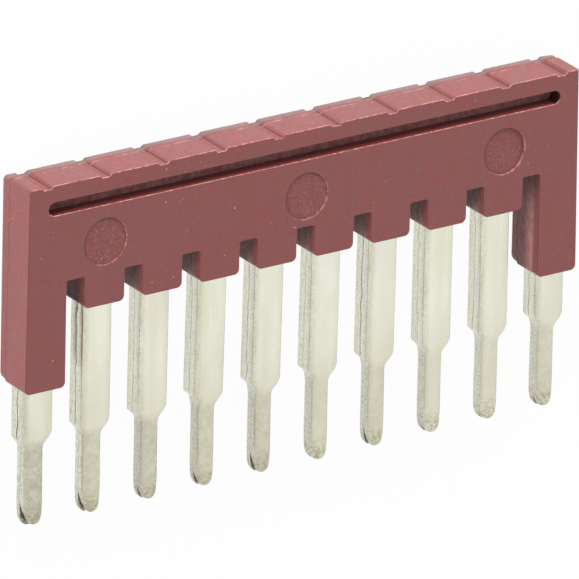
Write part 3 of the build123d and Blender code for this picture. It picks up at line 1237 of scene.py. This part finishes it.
def leaf_place(x, y, z, on_shaft, pole, facing):
    """Where a point of the prism belongs; on_shaft is nought on a blade and one on a shaft."""
    blade = BLADES[pole]
    across = abs(x) / (BLADE_WIDTH / 2)
    gap = seam_side(y, pole, facing, blade)
    outer = outer_side(y, facing, blade)
    outer = outer - CROWN * across ** 2 - SHAFT_ROLL * on_shaft * across ** 4
    half = half_width(y, x < 0, facing, blade)
    half *= 1 - SHAFT_DRAW_IN * on_shaft * (z / LEAF) ** 3
    if z < INNER_CORNER / 2 and across > SEAM_CORNER:
        across = between(across, 1.0, on_shaft)
    aside = blade["aside"] * smooth_step(y, TOOTH_Y + LEAN_ABOVE, SHAFT_Y)
    short = blade["shorter"] * smooth_step(y, NOSE_Y + SHORT_LENGTH, TIP_Y) if facing > 0 else 0.0
    depth = gap + z / LEAF * (outer - gap)
    new_x = pole_middle(pole) + aside + math.copysign(across * half, x)
    return new_x, y + short, SEAM_Z + facing * depth


print("a point of the first leaf:", [round(v, 2) for v in leaf_place(0, 0, LEAF, 0.0, 0, 1)])

# %% [markdown]
# Each layer says how much a point belongs to the sheared side, the rolled edge with its painted
# reflection, the right rim with its painted shade, the seam with its painted shade, the shaft or
# the tip, and two carry the blade's tint and grime.

# %% Numbers for the finish
LAYERS = ("side", "edge", "rim", "seam", "shaft", "tip", "tint", "grime")
ON_SURFACE = 0.01
ROLLED_SHARE = 0.9
EDGE_START, EDGE_BAND, RIGHT_EDGE_BAND = 0.1, 0.65, 0.25
RIM_BAND = 0.12
TIP_LENGTH = 1.4


def finish_numbers(x, y, z, on_shaft, blade):
    """A number for each layer at one point of the prism."""
    from_left, from_right = BLADE_WIDTH / 2 + x, BLADE_WIDTH / 2 - x
    on_side = abs(x) > BLADE_WIDTH / 2 - ON_SURFACE
    rolled = z > LEAF - OUTER_CORNER * ROLLED_SHARE
    # The edge number places the painted reflection on the rolled edges.
    at_edge = 1 - smooth_step(from_left, EDGE_START, EDGE_BAND)
    at_edge = max(at_edge, 0.5 * (1 - smooth_step(from_right, 0.0, RIGHT_EDGE_BAND)))
    # The rim number places the painted shade on the right rolled edge.
    at_rim = 1 - smooth_step(from_right, 0.0, RIM_BAND)
    split = smooth_step(y, TIP_Y + blade["split"] + 0.2, TIP_Y + 0.6)
    # The seam number places the painted shade in the seam and the split tip.
    seam = between(0.35 + 0.65 * blade["seam"], 0.1, on_shaft) + 0.5 * split
    return {
        "side": 1.0 if on_side else 0.0,
        "edge": at_edge * (1 - 0.8 * on_shaft) if rolled else 0.0,
        "rim": at_rim * (1 - 0.5 * on_shaft) if rolled else 0.0,
        "seam": seam if z < ON_SURFACE else 0.0,
        "shaft": on_shaft * blade["dull"],
        "tip": smooth_step(y, NOSE_Y + TIP_LENGTH, TIP_Y),
        "tint": blade["tint"],
        "grime": on_shaft * blade["grime"] if on_side and x < 0 else 0.0,
    }


print("layers of a point:", len(finish_numbers(0, 0, 0, 0.0, BLADES[0])))

# %% [markdown]
# The corners are less rolled on the blade than on the shaft, so the outline is first drawn out
# towards them. At the end all faces are turned outwards, because the move turns a back leaf inside
# out.

# %% Draw one leaf
CRISP = 0.4
SHAFT_FROM, SHAFT_FULLY = BLADE_END_Y - 0.4, SHAFT_Y - 0.3


def verts_of(made):
    return [item for item in made["geom"] if isinstance(item, bmesh.types.BMVert)]


def face_outward(shape):
    """Turns all faces of a closed shape outwards."""
    shape.normal_update()
    bmesh.ops.recalc_face_normals(shape, faces=shape.faces)
    if shape.calc_volume(signed=True) < 0:
        bmesh.ops.reverse_faces(shape, faces=shape.faces)


def draw_leaf(pole, facing):
    """One closed leaf of a blade; facing is 1 for the front leaf and -1 for the back one."""
    shape = bmesh.new()
    made = bmesh.ops.extrude_face_region(shape, geom=leaf_outline(shape))
    bmesh.ops.translate(shape, verts=verts_of(made), vec=(0, TIP_Y - WEB_Y, 0))
    for height in STATIONS[1:-1]:
        everything = shape.verts[:] + shape.edges[:] + shape.faces[:]
        bmesh.ops.bisect_plane(
            shape, geom=everything, plane_co=(0, height, 0), plane_no=(0, 1, 0),
        )
    layers = {name: shape.verts.layers.float.new(name) for name in LAYERS}
    for vert in shape.verts:
        x, y, z = vert.co
        on_shaft = smooth_step(y, SHAFT_FROM, SHAFT_FULLY)
        from_side, from_face = BLADE_WIDTH / 2 - abs(x), LEAF - z
        if max(from_side, from_face) < OUTER_CORNER + ON_SURFACE:
            kept = between(CRISP, 1.0, on_shaft)
            x = math.copysign(BLADE_WIDTH / 2 - from_side * kept, x)
            z = LEAF - from_face * kept
        for name, number in finish_numbers(x, y, z, on_shaft, BLADES[pole]).items():
            vert[layers[name]] = number
        vert.co = leaf_place(x, y, z, on_shaft, pole, facing)
    face_outward(shape)
    return shape


first_leaf = draw_leaf(0, 1)
leaf_volume = round(first_leaf.calc_volume(signed=True), 2)
print("one leaf:", len(first_leaf.faces), "faces,", leaf_volume, "mm3")
first_leaf.free()

# %% [markdown]
# ## The web and its fold
# All blades hang on one web inside the moulding. A bar as thick as a leaf rises, turns over by half
# a spin, and comes down again. The face that the spin leaves is taken away, so that the bar can go
# on.

# %% The folded web
BLADE_THICKNESS = 1.72
FOLD_CENTRE_Y = 10.03
FOLD_STEPS = 12
WEB_GAP = 0.12
WEB_LENGTH = (POLES - 1) * PITCH + BLADE_WIDTH


def folded_web():
    shape = bmesh.new()
    near, far = SEAM_Z + WEB_GAP / 2, SEAM_Z + BLADE_THICKNESS / 2
    half = WEB_LENGTH / 2
    foot = [shape.verts.new(place) for place in (
        (-half, WEB_Y, near), (half, WEB_Y, near), (half, WEB_Y, far), (-half, WEB_Y, far),
    )]
    made = bmesh.ops.extrude_face_region(shape, geom=[shape.faces.new(foot)])
    bmesh.ops.translate(shape, verts=verts_of(made), vec=(0, FOLD_CENTRE_Y - WEB_Y, 0))
    top = [item for item in made["geom"] if isinstance(item, bmesh.types.BMFace)]
    turned = bmesh.ops.spin(
        shape, geom=top + top[0].edges[:] + top[0].verts[:], cent=(0, FOLD_CENTRE_Y, SEAM_Z),
        axis=(1, 0, 0), angle=math.pi, steps=FOLD_STEPS,
    )
    end = [item for item in turned["geom_last"] if isinstance(item, bmesh.types.BMFace)]
    rim = end[0].edges[:]
    bmesh.ops.delete(shape, geom=end, context="FACES_ONLY")
    made = bmesh.ops.extrude_edge_only(shape, edges=rim)
    bmesh.ops.translate(shape, verts=verts_of(made), vec=(0, WEB_Y - FOLD_CENTRE_Y, 0))
    last = [item for item in made["geom"] if isinstance(item, bmesh.types.BMEdge)]
    bmesh.ops.contextual_create(shape, geom=[edge for edge in last if edge.is_boundary])
    face_outward(shape)
    return shape


web = folded_web()
print("web:", len(web.faces), "faces, open edges:", sum(e.is_boundary for e in web.edges))

# %% [markdown]
# All leaves and the web become one mesh, scaled from millimetres to the metres of the frame.

# %% Gather the comb
def gather(target, part):
    """Adds a shape to another one and frees it."""
    carrier = bpy.data.meshes.new("carrier")
    part.to_mesh(carrier)
    part.free()
    target.from_mesh(carrier)
    bpy.data.meshes.remove(carrier)


comb_shape = bmesh.new()
for pole in range(POLES):
    for facing in (1, -1):
        gather(comb_shape, draw_leaf(pole, facing))
gather(comb_shape, web)
bmesh.ops.scale(comb_shape, verts=comb_shape.verts, vec=(MM, MM, MM))
print("layers:", [layer.name for layer in comb_shape.verts.layers.float.values()])
comb = make_piece("comb", comb_shape, tin)
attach(comb, "root")
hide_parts("contact_comb")
